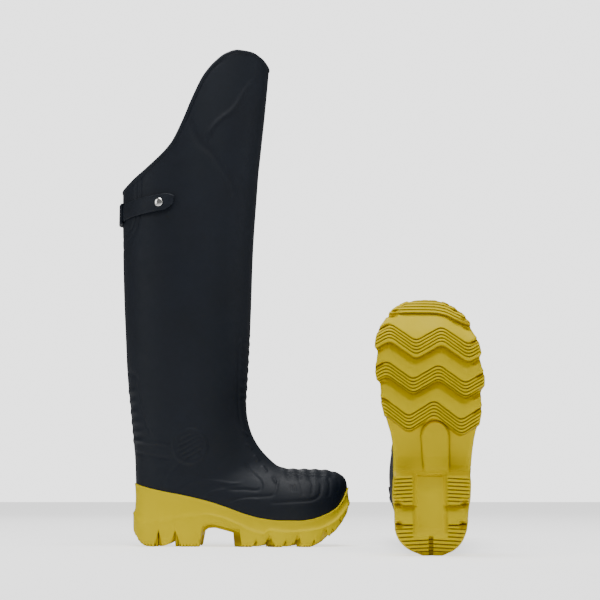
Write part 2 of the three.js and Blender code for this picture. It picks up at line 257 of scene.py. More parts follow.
finish = {
    # mottle is how cloudy the colour is, grain how deep the mould's pebble, shine how strong the reflection
    "navyPvc": {"colour": (0.0029, 0.0062, 0.0132), "roughness": 0.53, "mottle": 0.12, "grain": 0.25,
                "shine": 0.35},
    "yellowPvc": {"colour": (0.78, 0.60, 0.0), "roughness": 0.5, "mottle": 0.04, "grain": 0.2, "shine": 0.08,
                  # the brown of the painted shade in the sole's grooves and under its steep edges
                  "shadeColour": (0.22, 0.13, 0.0)},
    "knitLining": {"colour": (0.030, 0.036, 0.048)},
    "footbedCloth": {"colour": (0.035, 0.040, 0.052), "ownMap": False},
    "fibreBoard": {"colour": (0.25, 0.16, 0.08), "roughness": 0.85, "mottle": 0.25, "grain": 0.6,
                   "shine": 0.3},
    "brushedSteel": {"colour": (0.50, 0.51, 0.52), "roughness": 0.35, "grainScale": 40.0,
                     "stretch": (1, 12, 12)},
    "platedNickel": {"colour": (0.82, 0.82, 0.80), "roughness": 0.14, "grainScale": 80.0,
                     "stretch": (1, 1, 1)},
}


def tint(colour, share):
    return tuple(min(c * share, 1) for c in colour)


def newMaterial(name):
    material = bpy.data.materials.new(name)
    material.use_nodes = True
    nodes, links = material.node_tree.nodes, material.node_tree.links
    return material, nodes, links, nodes["Principled BSDF"]


def node(nodes, kind, **values):
    # a new node with its sockets and its settings filled in
    made = nodes.new(kind)
    for key, value in values.items():
        if key in made.inputs:
            made.inputs[key].default_value = value
        else:
            setattr(made, key, value)
    return made


def colourRamp(nodes, stops):
    made = nodes.new("ShaderNodeValToRGB")
    elements = made.color_ramp.elements
    while len(elements) < len(stops):
        elements.new(0.5)
    for element, (position, colour) in zip(elements, stops):
        element.position = position
        element.color = (*colour, 1)
    return made


def mouldedPvc(name, colour, roughness, mottle, grain, shine, shadeColour=None):
    # moulded PVC: faint cloudy colour, a fine pebble from the mould, slightly uneven gloss, and painted
    # shade in the grooves and under the steep edges of a piece that has a painted shade attribute
    material, nodes, links, shader = newMaterial(name)
    place = node(nodes, "ShaderNodeTexCoord").outputs["Object"]
    cloud = node(nodes, "ShaderNodeTexNoise", Scale=14.0, Detail=4.0, Roughness=0.55)
    pebble = node(nodes, "ShaderNodeTexNoise", Scale=900.0, Detail=2.0, Roughness=0.6)
    scuff = node(nodes, "ShaderNodeTexNoise", Scale=60.0, Detail=6.0, Roughness=0.7)
    for texture in (cloud, pebble, scuff):
        links.new(place, texture.inputs["Vector"])
    ramp = colourRamp(nodes, [(0.35, tint(colour, 1 - mottle)), (0.65, tint(colour, 1 + mottle))])
    links.new(cloud.outputs["Fac"], ramp.inputs["Fac"])
    colourOut = ramp.outputs["Color"]
    # painted shade: the attribute mixes the colour towards a dark brown
    if shadeColour:
        paintedShade = node(nodes, "ShaderNodeAttribute", attribute_name="paintedShade")
        shadeMix = node(nodes, "ShaderNodeMix", data_type="RGBA")
        shadeMix.inputs[7].default_value = (*shadeColour, 1)
        links.new(paintedShade.outputs["Fac"], shadeMix.inputs[0])
        links.new(colourOut, shadeMix.inputs[6])
        colourOut = shadeMix.outputs[2]
    links.new(colourOut, shader.inputs["Base Color"])
    gloss = node(nodes, "ShaderNodeMapRange")
    gloss.inputs["From Min"].default_value, gloss.inputs["From Max"].default_value = 0.3, 0.7
    gloss.inputs["To Min"].default_value = roughness - 0.05
    gloss.inputs["To Max"].default_value = roughness + 0.07
    links.new(scuff.outputs["Fac"], gloss.inputs["Value"])
    links.new(gloss.outputs["Result"], shader.inputs["Roughness"])
    bump = node(nodes, "ShaderNodeBump", Strength=grain, Distance=0.0004)
    links.new(pebble.outputs["Fac"], bump.inputs["Height"])
    links.new(bump.outputs["Normal"], shader.inputs["Normal"])
    shader.inputs["Specular IOR Level"].default_value = shine
    return material


def knitCloth(name, colour, ownMap=True):
    # ribbed knit: rows of small stitches from the piece's own map, in millimetres round and along, or from
    # its place in millimetres
    material, nodes, links, shader = newMaterial(name)
    place = node(nodes, "ShaderNodeTexCoord").outputs["UV" if ownMap else "Object"]
    if not ownMap:
        inMillimetres = node(nodes, "ShaderNodeMapping")
        inMillimetres.inputs["Scale"].default_value = (1000, 1000, 1000)
        links.new(place, inMillimetres.inputs["Vector"])
        place = inMillimetres.outputs["Vector"]
    wales = node(nodes, "ShaderNodeTexWave", Scale=0.55, Distortion=0.4, Detail=1.0)
    courses = node(nodes, "ShaderNodeTexWave", Scale=0.8, Distortion=0.6, Detail=1.0, bands_direction="Y")
    fuzz = node(nodes, "ShaderNodeTexNoise", Scale=1.5, Detail=3.0)
    for texture in (wales, courses, fuzz):
        links.new(place, texture.inputs["Vector"])
    stitch = node(nodes, "ShaderNodeMath", operation="MULTIPLY")
    links.new(wales.outputs["Fac"], stitch.inputs[0])
    links.new(courses.outputs["Fac"], stitch.inputs[1])
    total = node(nodes, "ShaderNodeMath", operation="ADD")
    links.new(stitch.outputs[0], total.inputs[0])
    links.new(fuzz.outputs["Fac"], total.inputs[1])
    ramp = colourRamp(nodes, [(0.3, tint(colour, 0.5)), (1.0, tint(colour, 1.6))])
    links.new(total.outputs[0], ramp.inputs["Fac"])
    links.new(ramp.outputs["Color"], shader.inputs["Base Color"])
    bump = node(nodes, "ShaderNodeBump", Strength=0.6, Distance=0.0005)
    links.new(total.outputs[0], bump.inputs["Height"])
    links.new(bump.outputs["Normal"], shader.inputs["Normal"])
    shader.inputs["Roughness"].default_value = 0.95
    shader.inputs["Sheen Weight"].default_value = 0.4
    return material


def metal(name, colour, roughness, grainScale, stretch):
    # plated or brushed metal with fine drawn lines
    material, nodes, links, shader = newMaterial(name)
    place = node(nodes, "ShaderNodeTexCoord").outputs["Object"]
    turn = node(nodes, "ShaderNodeMapping")
    turn.inputs["Scale"].default_value = stretch
    grain = node(nodes, "ShaderNodeTexNoise", Scale=grainScale, Detail=4.0)
    links.new(place, turn.inputs["Vector"])
    links.new(turn.outputs["Vector"], grain.inputs["Vector"])
    ramp = colourRamp(nodes, [(0.3, tint(colour, 0.85)), (0.7, colour)])
    links.new(grain.outputs["Fac"], ramp.inputs["Fac"])
    links.new(ramp.outputs["Color"], shader.inputs["Base Color"])
    gloss = node(nodes, "ShaderNodeMapRange")
    gloss.inputs["To Min"].default_value = roughness * 0.7
    gloss.inputs["To Max"].default_value = roughness * 1.3
    links.new(grain.outputs["Fac"], gloss.inputs["Value"])
    links.new(gloss.outputs["Result"], shader.inputs["Roughness"])
    shader.inputs["Metallic"].default_value = 1.0
    return material


materialKinds = {  # slot, finish and how it is made
    "navy_pvc": ("navyPvc", mouldedPvc),
    "yellow_pvc": ("yellowPvc", mouldedPvc),
    "knit": ("knitLining", knitCloth),
    "footbed_foam": ("footbedCloth", knitCloth),
    "insole_board": ("fibreBoard", mouldedPvc),
    "steel": ("brushedSteel", metal),
    "nickel": ("platedNickel", metal),
}
materials = {slot: make(name, **finish[name]) for slot, (name, make) in materialKinds.items()}


def dress(piece, slot, body, *replaced):
    # gives a piece its material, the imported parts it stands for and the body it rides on
    piece.data.materials.append(materials[slot])
    if replaced:
        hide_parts(*replaced)
    if body:
        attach(piece, body)
    return piece


upper = {
    "wall": 2.5, "rimMiddle": 2.2,  # the rim is level across the wall, at this depth into it
    "rimDrop": 3.4,  # the wall ends this far under the rim, inside the bead
    "shin": [(700, 186), (650, 182), (624, 179.6), (600, 177.4), (575, 174.8), (550, 172.3), (526, 169.8),
             (495, 167.7), (465, 165.6), (441, 164), (400, 162), (359, 161.3), (326, 159.6), (283, 158.4),
             (261, 157.2), (231, 156.2), (212, 154.8), (201, 153.6)],  # height, x of the front
    "calf": [(700, -24.2), (509, -24.2), (477, -24), (441, -23.3), (400, -22.2), (359, -20.6), (318, -18.5),
             (283, -16.4), (261, -15.3), (242, -14), (224, -12.4), (201, -9.6)],  # height, x of the back
    "rim": [(-40, 497), (-24.5, 499), (0, 515), (21, 531), (50.5, 561), (65, 590), (79.5, 626), (95, 659),
            (111.5, 680), (126, 692), (141, 697.5), (157, 697), (173, 690.5), (184, 680), (200, 664)],
    "fanFrom": 440,  # under this the sections are level, above it they fan out to the rim
    "halfWidth": [(440, 53.6), (480, 53.6), (560, 53.4), (700, 52.4)],  # above fanFrom
    # sections below the shaft: front x and z, back x and z, half width, shift inwards,
    # widest place, roundness of the front and of the back
    "foot": [
        [165, 460, -23.7, 460, 53.6, 0, 0.5, 2, 2],
        [162, 400, -22.2, 400, 53.4, 0, 0.5, 2, 2],
        [160.4, 340, -19.7, 340, 52.6, 0, 0.5, 2, 2],
        [158.4, 283, -16.4, 283, 51.2, 0, 0.5, 2, 2],
        [156.6, 245, -14.2, 245, 49.4, 0, 0.5, 2, 2],
        [155.1, 218, -11.6, 218, 47.8, 0, 0.5, 2, 2.05],
        [153.9, 199, -8.6, 195, 46.6, 0, 0.505, 2, 2.1],
        [154.6, 184, -6.5, 174, 45.8, 0, 0.51, 2, 2.2],
        [157.2, 169, -3.9, 153, 45, 0, 0.52, 2, 2.25],
        [161.6, 155, -2.6, 138, 44, 0, 0.53, 2, 2.3],
        [167, 144, -0.6, 120, 43.2, 0, 0.545, 2, 2.4],
        [173.2, 134.5, 0.4, 100, 42.4, 0, 0.56, 2, 2.5],
        [180, 126.5, 1.5, 78, 42, -0.3, 0.575, 2, 2.7],
        [186, 120.5, 9, 52, 41.6, -0.8, 0.585, 2, 2.85],
        [192, 115, 45, 40.5, 41.6, -1.6, 0.6, 2, 3],
        [198.5, 110.3, 90, 37.5, 42.4, -2.6, 0.625, 2, 3.15],
        [206, 107.7, 128, 32, 45.2, -3, 0.655, 2, 3.35],
        [214.5, 106.5, 160, 25.5, 49, -2.8, 0.68, 2, 3.5],
        [226, 106, 188, 21, 53, -1.6, 0.7, 2, 3.5],
        [238, 106, 214, 20, 55, 0, 0.715, 2, 3.5],
        [250, 105.6, 236, 20.8, 53.6, 1.6, 0.72, 2.05, 3.35],
        [261, 105.2, 253, 23, 50, 3.2, 0.72, 2.1, 3.2],
        [271, 103.9, 268, 27.2, 44.8, 4.4, 0.705, 2.15, 3.05],
        [279.5, 101.6, 279, 33, 38, 6, 0.685, 2.2, 2.8],
        [286.2, 98.6, 286.2, 40, 30.4, 7.4, 0.66, 2.25, 2.6],
        [291, 95, 291, 48.5, 21.5, 8.5, 0.62, 2.3, 2.4],
        [294, 90, 294, 58, 13, 9.2, 0.56, 2.2, 2.2],
        [295.2, 83, 295.2, 68, 5, 9.6, 0.5, 2, 2],
    ],
    "rimRows": 88, "shaftRows": 66, "footRows": 196, "round": 256,
}

rimLine = lambda x: curve(upper["rim"], x)
shinAt = lambda z: curve(upper["shin"], z)
calfAt = lambda z: curve(upper["calf"], z)


def footSections(count):
    # the table's sections, at even steps along their fronts and backs, closer together from the ankle down
    rows = np.array(upper["foot"], float)
    front, back = rows[:, 0:2], rows[:, 2:4]
    path = np.hypot(*np.diff(front, axis=0).T) + np.hypot(*np.diff(back, axis=0).T) * 0.6
    path = path * np.where(front[1:, 1] > 210, 0.5, 1)
    length = np.concatenate([[0], np.cumsum(path)])
    fine = soften(throughPoints(length, rows, np.linspace(0, length[-1], 1400)), 14)
    start = np.searchsorted(-fine[:, 1], -upper["fanFrom"])
    return fine[(start + (len(fine) - 1 - start) * np.linspace(0, 1, count)).round().astype(int)]


def sectionPoints(rows, inset, columns):
    # a section is an egg: half width times |sin| to a power one way, and along the section
    # |cos| to the same power from its widest place to its front or its back
    cos, sin = np.cos(turns(columns))[None], np.sin(turns(columns))[None]
    frontX, frontZ, backX, backZ, half, shift, widest, powerF, powerB = (rows[:, i:i + 1] for i in range(9))
    dx, dz = backX - frontX, backZ - frontZ
    length = np.hypot(dx, dz)
    dx, dz = dx / length, dz / length
    inset = np.minimum(inset, length * 0.35)
    length = length - 2 * inset
    power = 2 / np.where(cos > 0, powerF, powerB)
    swing = np.abs(cos) ** power
    share = np.where(cos > 0, widest * (1 - swing), widest + (1 - widest) * swing)
    x = frontX + dx * (inset + share * length) - inset * ease(259, 294.5, frontX)
    z = frontZ + dz * (inset + share * length)
    y = shift - np.sign(sin) * np.maximum(half - inset, 1) * np.abs(sin) ** power
    return np.stack([x, y, z], -1)


def bootForm(inset, rimRows, shaftRows, footRows, columns, drop=0.0):
    # the whole sock: rows from the rim down to fanFrom, then through the shaft and foot to the toe. Above
    # fanFrom a row is at the same share of the height to the rim, which is solved for by repeating
    foot = footSections(shaftRows + footRows)
    angle = turns(columns)
    share = 0.5 * (1 - np.cos(angle))[None]
    down = np.linspace(1, 0, rimRows, endpoint=False)[:, None]
    base = upper["fanFrom"]
    z = base + (600 - base) * down * np.ones_like(share)
    middle = upper["rimMiddle"]
    for repeat in range(6):
        front, back = shinAt(z), calfAt(z)
        x = front - middle + (back - front + 2 * middle) * share
        z = base + (rimLine(x) - drop - base) * down
    x = front - inset + (back - front + 2 * inset) * share
    half = curve(upper["halfWidth"], z) - inset
    rimPart = np.stack([x, -half * np.sin(angle)[None] * np.ones_like(z), z], -1)
    return np.concatenate([rimPart, sectionPoints(foot, inset, columns)])


relief = {
    # lines moulded into both sides of the upper: how proud, how wide, then x and z along it
    "lines": [
        (-1.2, 1.5, [(4.8, 522), (4.8, 490), (4.5, 465), (1, 445), (-8, 428), (-20, 416), (-30, 410)]),
        (-0.9, 1.4, [(-1.5, 515), (-1.5, 468), (-4, 450), (-12, 436), (-28, 427)]),
        (-0.7, 1.4, [(-30, 492), (-10, 503), (6, 513), (36, 541), (58, 572), (72, 600), (86, 636), (100, 660),
                     (116, 676), (134, 685)]),
        (1.0, 2.6, [(170, 662), (161, 653), (153, 642), (144, 625), (133, 608), (120, 597), (110, 587),
                    (102, 574), (100, 560)]),
        (-0.9, 2.4, [(70, 600), (74, 591), (86, 562), (105, 545), (120, 523), (134, 501), (138, 478)]),
        (-0.9, 1.6, [(-16, 243), (-5, 237), (3, 231), (6, 215), (7, 195), (10, 185), (17, 167), (23, 154),
                     (28, 145)]),
        (0.8, 1.6, [(-6, 148), (2, 145.6), (20, 141), (38, 139), (52, 136)]),
        (-0.8, 1.6, [(-3, 129), (5, 127), (20, 124), (41, 120), (54, 118)]),
        (-0.9, 1.6, [(70, 118), (64, 112), (55, 103), (48, 93), (42, 83), (40, 70)]),
        (0.8, 1.5, [(55, 66), (63, 74), (73, 82), (85, 87.6), (98, 88.6), (114, 88), (138, 85), (152, 86)]),
        (0.8, 1.5, [(90, 60), (99, 67), (108, 73), (120, 76), (129, 77)]),
        (-1.0, 1.6, [(129, 77), (153, 77), (170, 76), (176, 78.5), (177, 82), (175, 89), (168, 96),
                     (159, 105), (153, 116)]),
        (-1.0, 1.6, [(124, 56), (129, 58.6), (144, 64), (162, 67), (189, 68.6), (194, 71), (197, 78),
                     (200, 96)]),
        (0.8, 1.5, [(132, 55), (138, 60), (158, 64), (176, 63)]),
        (-0.9, 1.8, [(185, 58.5), (193, 59), (224, 61), (242, 62), (251, 65), (257, 72), (258, 81.6),
                     (255, 90)]),
        (-0.7, 2.0, [(267, 66), (269.5, 75), (270, 85), (267, 95)]),
        (-0.6, 2.0, [(279, 70), (282, 78), (282.5, 86), (280, 95)]),
        (-0.9, 1.5, [(206, 100), (215, 98.4), (240, 97.4), (262, 96.4), (282, 93.6)]),
        (-0.5, 2.0, [(227.6, 96), (231, 83), (233.5, 71)]),
        (-0.5, 2.0, [(243, 94.6), (246.5, 83), (245, 72)]),
        (-0.9, 1.6, [(146, 300), (144.5, 280), (144, 240), (143.6, 205), (145, 180), (149, 160)]),
        (-0.8, 1.1, [(217.5, 82), (218.5, 75)]), (-0.8, 1.1, [(222.5, 82), (223.5, 75)]),
        (1.1, 1.5, [(150.5, 158), (155.5, 152.5)]), (1.1, 1.5, [(157, 139), (162, 133)]),
        (1.1, 1.5, [(167, 123), (172, 117)]), (1.1, 1.5, [(178, 108), (182.5, 102)]),
        (1.2, 1.5, [(192.5, 93.5), (196, 87)]),
    ],
    "ankle": (78.5, 136, 24),  # middle and radius of the disc over the ankle bone
    "discProud": 1.3, "discGroove": 1.0,
    "slots": (-12.4, -6.2, 0, 6.2, 12.4), "slotTilt": 0.49, "slotReach": 16.5, "slotDepth": 1.5,
    "heelRibs": (213, 199, 184, 170, 157, 144), "heelRibProud": 0.9,
    "shinPitch": 12.4, "toePitch": 15.2, "waveProud": 0.55,
}


def reliefOf(x, z, facing):
    # how far each point stands out: bell-shaped ridges and grooves along the lines, a raised ring with
    # slanting slots over the ankle, ribs behind the heel, up the shin and across the toe
    out = np.zeros_like(x)
    for proud, width, points in relief["lines"]:
        gap, share = distanceTo(points, x, z)
        ends = ease(0, 0.12, share) * ease(0, 0.12, 1 - share) if len(points) > 3 else 1
        out += proud * bell(gap, width) * ends
    ax, az, radius = relief["ankle"]
    away = np.hypot(x - ax, z - az)
    out += relief["discProud"] * ease(radius + 1.2, radius - 1.2, away) * ease(40, 60, z)
    out -= relief["discGroove"] * bell(away - radius + 4.5, 1.2)
    cos, sin = math.cos(relief["slotTilt"]), math.sin(relief["slotTilt"])
    along = (x - ax) * cos + (z - az) * sin
    up = -(x - ax) * sin + (z - az) * cos
    slot = np.zeros_like(x)
    for place in relief["slots"]:
        reach = math.sqrt(relief["slotReach"] ** 2 - place**2)
        inSlot = ease(2.0, 1.1, np.abs(up - place)) * ease(reach + 0.8, reach - 0.8, np.abs(along))
        slot = np.maximum(slot, inSlot)
    out -= relief["slotDepth"] * slot
    behind = ease(8, -4, x - 0.35 * np.maximum(190 - z, 0)) * ease(136, 144, z) * ease(232, 222, z)
    for level in relief["heelRibs"]:
        out += relief["heelRibProud"] * bell(z - level, 3.2) * behind
    front = ease(0.25, 0.55, facing[..., 0]) * ease(0.9, 0.8, np.abs(facing[..., 1]))
    shin = front * ease(142, 150, x) * ease(190, 205, z) * ease(300, 285, z)
    out += relief["waveProud"] * np.cos(2 * np.pi * (z - 206) / relief["shinPitch"]) * shin
    top = ease(0.6, 0.8, facing[..., 2]) * ease(200, 212, x) * ease(290, 276, x)
    out += relief["waveProud"] * np.cos(2 * np.pi * (x - 220) / relief["toePitch"]) * top
    return out


def bootUpper(side):
    # the form's outer skin, moved out along its normals by the relief and joined at the rim to a plainer
    # inner one
    columns, drop = upper["round"], upper["rimDrop"]
    grid = bootForm(0, upper["rimRows"], upper["shaftRows"], upper["footRows"], columns, drop)
    normal = outwards(grid)
    inside = grid.mean(1, keepdims=True)
    if (normal * (grid - inside)).sum() < 0:
        normal = -normal
    x, z = grid[..., 0], grid[..., 2]
    clear = ease(2, 8, rimLine(x) - z)  # flat where the bead grips it
    grid = grid + normal * (reliefOf(x, z, normal) * clear)[..., None]
    inner = bootForm(upper["wall"], 10, 8, 10, columns, drop)
    piece = tube(side + "_upper_shell", side, np.concatenate([inner[::-1], grid]))
    dress(piece, "navy_pvc", "pair", side + "_upper")


lining = {"outside": 3.0, "inside": 4.3, "rows": (34, 26, 44), "round": 120, "drop": 3.8, "girth": 330}


def knitLining(side):
    # the form inset by two depths, joined at the rim; its map is in millimetres round and along
    outer, inner = (bootForm(lining[skin], *lining["rows"], lining["round"], lining["drop"])
                    for skin in ("outside", "inside"))
    rings = np.concatenate([outer[::-1], inner])
    rows, columns = rings.shape[:2]
    step = np.linalg.norm(np.diff(rings[:, 0], axis=0), axis=-1)
    along = np.concatenate([[0], np.cumsum(step)])[:, None] * np.ones((1, columns))
    across = (np.arange(columns) * lining["girth"] / columns)[None] * np.ones((rows, 1))
    piece = tube(side + "_knit_lining", side, rings, np.stack([across, along], -1))
    dress(piece, "knit", "pair", side + "_lining")


binding = {"outside": -1.0, "inside": 5.4, "height": 3.0, "round": 20, "along": 320, "drop": 2.4,
           "fullness": 0.75}


def rimBead(side):
    # a bead round the rim: an oval whose width is the whole wall's and whose middle runs along the rim
    outer, inner = (bootForm(binding[skin], 40, 4, 4, binding["along"], binding["drop"])[0]
                    for skin in ("outside", "inside"))
    middle, half = (outer + inner) / 2, (outer - inner) / 2
    run = np.roll(middle, -1, 0) - np.roll(middle, 1, 0)
    up = np.cross(half, run)
    up /= np.linalg.norm(up, axis=-1, keepdims=True)
    up *= np.sign(up[:, 2:3])
    angle = turns(binding["round"])
    fat = lambda v: np.sign(v) * np.abs(v) ** binding["fullness"]
    rings = (middle[:, None] + half[:, None] * fat(np.cos(angle))[None, :, None]
             + up[:, None] * (binding["height"] * fat(np.sin(angle)))[None, :, None])
    dress(hoop(side + "_rim_bead", side, rings), "navy_pvc", "pair", side + "_top_binding")


outsole = {
    # plan of the tread, x and how far out, inner side then outer side
    "inner": [(0, 0), (1.5, 9), (5, 17.5), (11, 28), (23, 38), (36, 41.5), (66, 43), (87, 42), (101, 40.5),
              (112, 40.2), (124, 41.5), (150, 49), (181, 57), (203, 61), (218, 63.2), (244, 62.8),
              (262, 58.8), (273, 53.5), (283, 45), (291, 34), (296.5, 20), (299.2, 5)],
    "outer": [(0, 0), (1.2, 9), (4, 17), (10, 26), (20, 34), (36, 39.5), (54, 41.8), (70, 43), (84, 43.6),
              (101, 41.7), (115, 43.8), (130, 48), (152, 55), (181, 60), (202, 62), (218, 60.6), (234, 58.2),
              (252, 53.6), (266, 48), (275, 42.5), (284, 34.5), (292, 23.5), (297.6, 9), (299.2, -5)],
    "feather": [(-4, 87), (0, 85.6), (8, 82.6), (38, 75), (71, 68.6), (103, 61), (128, 53), (153, 44),
                (177, 37.8), (202, 34.9), (229, 34.7), (247, 37), (264, 43), (280, 52),
                (288, 61.5), (294, 73), (299, 84)],
    "crease": [(0, 46), (1.6, 45.4), (6, 38.5), (13.6, 34.2), (22, 33), (31.7, 33.4), (53.7, 37.4),
               (78.8, 41.9), (103.8, 43.4), (123.9, 39.4), (144, 31.4), (164, 21.9), (180, 17.8)],
    "toeCrease": [(180, 17.8), (189.5, 22.9), (209, 20.2), (225, 20.8), (255.8, 24.9), (276.3, 35.1),
                  (286.5, 45.3), (297, 58)],
    # height of the lugs' faces along the sole
    "lugs": [(0, 18), (3, 13.5), (6.6, 9.5), (13.6, 3.2), (20, 0.6), (26, 0), (243, 0), (251, 2.5), (258, 6),
             (264, 10), (270, 14.5), (276, 20), (283, 27.5), (289, 36), (294, 45), (297, 53), (299.5, 60)],
    "waist": [(88, 22), (97, 25), (104, 29), (112, 29.5), (119, 28), (134, 24), (146, 20.5), (158, 18.5),
              (180, 17)],
    "ribPitch": 3.85, "ribDepth": 1.7, "ribHalf": 1.1, "channelDepth": 10.5,
    "tipRibs": (5, 3.9), "blockRibs": (7, 63.2, 4.3), "heelRibs": (7, 32.2, 4.6), "ribSlant": 0.055,
    "ramp": (37.5, 21.0, 10.5), "bowl": (-21.5, 18.5, 7.5), "slitRise": 5.5,  # of the heel
    "crescent": [(-64, 277), (-52, 280.6), (-20, 281.6), (5, 281), (18, 278.5), (30, 272.5), (44, 266),
                 (64, 262)],  # how far out, x of the toe crescent's rear edge
    "tongue": (139.5, 5.4, 15.3),  # where the waist's tongue ends in a round tip, its middle, its half width
    # V notches in the sides at the heel and the toe: place, half width, height, how far in
    "notches": [(37, 5.5, 20, 11), (60, 7.5, 20, 12), (4.5, 2.2, 7, 5), (273, 2.6, 6, 9), (283.5, 3.4, 9, 9),
                (290.5, 2.6, 7, 7), (296, 1.8, 5, 5)],
    "gapNotch": (3.6, 6.8, 13, 16), "barNotch": (0.5, 3.6, 7, 14),  # the same at each gap and bar, set back
    "mouthCut": 2.4, "bulge": 2.0, "hollow": 1.3,  # of the walls, in and out
    "creases": (("crease", 1.0), ("toeCrease", 0.8)),  # how proud the bead along each crease is
    "tuck": [(0.4, 0.35), (1.3, 0.45), (2.6, -0.1), (4.6, -6)],  # inwards and up from the lip
    "stations": (20.0, 90.0, 160.0, 225.0, 280.0),  # places where the tread and the lip are lined up
    "along": 520, "across": 104, "lipGap": 1.9,
}


def waveEdge(middle, rise, crest, tilt):
    # a rounded zigzag across the sole: a cosine with a little of its third harmonic
    def edge(q):
        turn = 2 * np.pi * (q - crest) / 60
        return middle + rise * (np.cos(turn) + 0.07 * np.cos(3 * turn)) / 1.07 + tilt * q
    return edge


bars = [  # toe side edge, thickness, ribs
    (waveEdge(168.8, 8.6, 4.5, -0.08), 18.5, 4),
    (waveEdge(211.0, 8.0, 10, -0.08), 17.5, 5),
    (waveEdge(255.5, 7.8, 14, -0.077), 20.7, 6),
]
crescentEdge = lambda q: curve(outsole["crescent"], q)


def barEdges(q):
    # the toe side of each bar, and the low end of the channel in front of it
    return [bar[0](q) for bar in bars], [bar[0](q) - bar[1] for bar in bars[1:]] + [crescentEdge(q)]


def groove(distance, half):
    # 1 in the middle of a narrow groove, 0 outside it
    return ease(half, half * 0.25, np.abs(distance))


def treadBottom(x, q, edge):
    # height of the underside at x along and q towards the outer side, all in millimetres, and how much of a
    # groove or a steep edge each place is, which sets how much painted shade it gets
    z = curve(outsole["lugs"], x)
    dark = np.zeros_like(z)
    pitch, deep, ribHalf = outsole["ribPitch"], outsole["channelDepth"], outsole["ribHalf"]
    ribDeep = outsole["ribDepth"] * (0.3 + 0.7 * ease(0.6, 4, edge))  # ribs run out shallow at the sides

    def cut(distance, half, depth, where=1.0):
        nonlocal z, dark
        share = groove(distance, half) * where
        z = z + depth * share
        # each groove is also painted darker as shade
        dark = np.maximum(dark, share)

    # forefoot: smooth channels that deepen towards the next bar, and ribs along the bars
    tops, lows = barEdges(q)
    for bar, top, low in zip(bars, tops, lows):
        thick, ribs = bar[1:]
        share = np.clip((x - top) / (low - top), 0, 1)
        inside = ease(-0.2, 0.5, x - top) * ease(0.9, -0.5, x - low)
        z += inside * (0.8 + deep * (1 - 0.5 * ease(264, 279, x)) * share**1.9)
        # a painted shadow at the deep end of each channel, under the steep edge of the next bar
        dark = np.maximum(dark, 0.75 * bell(x - low + 0.3, 1.2))
        cut(x - top, 1.25, 2.2)
        for k in range(1, ribs + 1):
            if k * pitch < thick - 1.5:
                cut(x - (top - k * pitch), ribHalf, ribDeep)
    count, pitch = outsole["tipRibs"]
    for k in range(1, count + 1):
        cut(x - (lows[-1] + k * pitch), ribHalf, 0.9 * ribDeep, ease(299, 296, x))
    # waist: a smooth hollow with a plain tongue along its middle
    barLow = tops[0] - bars[0][1]
    barLow = np.where(q < -20, np.minimum(barLow, 160), barLow)
    waist = curve(outsole["waist"], x)
    tipFrom, tongueMiddle, tongueHalf = outsole["tongue"]
    onTip = x > tipFrom
    tip = tongueHalf - np.hypot(q - tongueMiddle, np.maximum(x - tipFrom, 0))
    tongue = np.where(onTip, tip, np.minimum(q + 10.5 + 0.06 * (x - 140), 21 - q))
    moat = np.where(onTip, tip + 2.1, np.minimum(q + 12.4, 22.9 - q))
    hollow = waist - 4.6 * ease(-0.8, 1.2, tongue) * ease(86, 96, x)
    inWaist = ease(1.5, -1.5, x - barLow) * ease(93, 99, x)
    nearTongue = ease(-0.6, 0.6, moat) * ease(93, 99, x) * ease(158, 156, x)
    into = np.maximum(inWaist, nearTongue)
    z = z * (1 - into) + hollow * into
    dark = dark * (1 - into)
    # painted shade lines along the step from the first bar down into the waist and round the tongue
    atBar = 0.9 * bell(x - barLow, 1.5) * ease(8, 14, np.abs(q - tongueMiddle)) * ease(100, 120, x)
    atTongue = 0.7 * bell(tongue + 1.0, 0.9) * ease(96, 104, x) * into
    dark = np.maximum(dark, np.maximum(atBar, atTongue))
    # heel breast
    breast = ease(91.5, 97.5, x) * ease(140, 120, x)
    z = np.maximum(z, breast * np.minimum(hollow, 29))
    # heel: ribbed blocks on each side, ramps behind them, a ribbed crescent and a smooth middle
    heel = ease(97, 92, x)
    block = ease(58.5, 60, x) * ease(92, 90, x)
    slant = outsole["ribSlant"] * np.abs(q)
    bowlInner, bowlOuter, bowlHeight = outsole["bowl"]
    middle = np.minimum(q - bowlInner, bowlOuter - q)
    side = ease(1.5, -1.5, middle)
    count, first, pitch = outsole["blockRibs"]
    for k in range(count):
        cut(x - (first + pitch * k) + slant - 2.0, ribHalf, ribDeep, heel * block * side)
    rampFrom, rampLength, rampRise = outsole["ramp"]
    rampShare = np.clip((x - rampFrom) / rampLength, 0, 1)
    ramp = ease(36.6, 37.6, x) * ease(59.6, 58.2, x)
    z += heel * ramp * (0.6 + rampRise * rampShare**2.6)
    # a painted shadow at the foot of the heel blocks' steep edge
    dark = np.maximum(dark, 0.75 * bell(x - 58.8, 1.2) * side)
    cut(x - 36.4, 1.5, 3.0, heel * side)
    where = heel * ease(1, 3, x) * np.maximum(side, ease(24, 20, x))
    count, first, pitch = outsole["heelRibs"]
    for k in range(count):
        cut(x - (first - pitch * k) + slant - 1.6, ribHalf, 0.9 * ribDeep, where)
    bowl = ease(0, 6.0, middle) * ease(20, 30, x)
    floorHeight = bowlHeight + 14 * ease(74, 100, x)
    z = z * (1 - bowl * heel) + floorHeight * ease(18, 36, x) * bowl * heel
    # painted shade round the rim of the heel's smooth middle
    dark = np.maximum(dark * (1 - bowl * heel), 0.35 * bell(middle - 1.0, 1.6) * heel * ease(24, 30, x))
    slit = ease(2.9, 1.9, np.abs(q + 1)) * ease(25, 22, x)
    z += slit * outsole["slitRise"]
    # the slit at the back of the heel is painted darker as shade too
    return z, np.maximum(dark, 0.6 * slit)


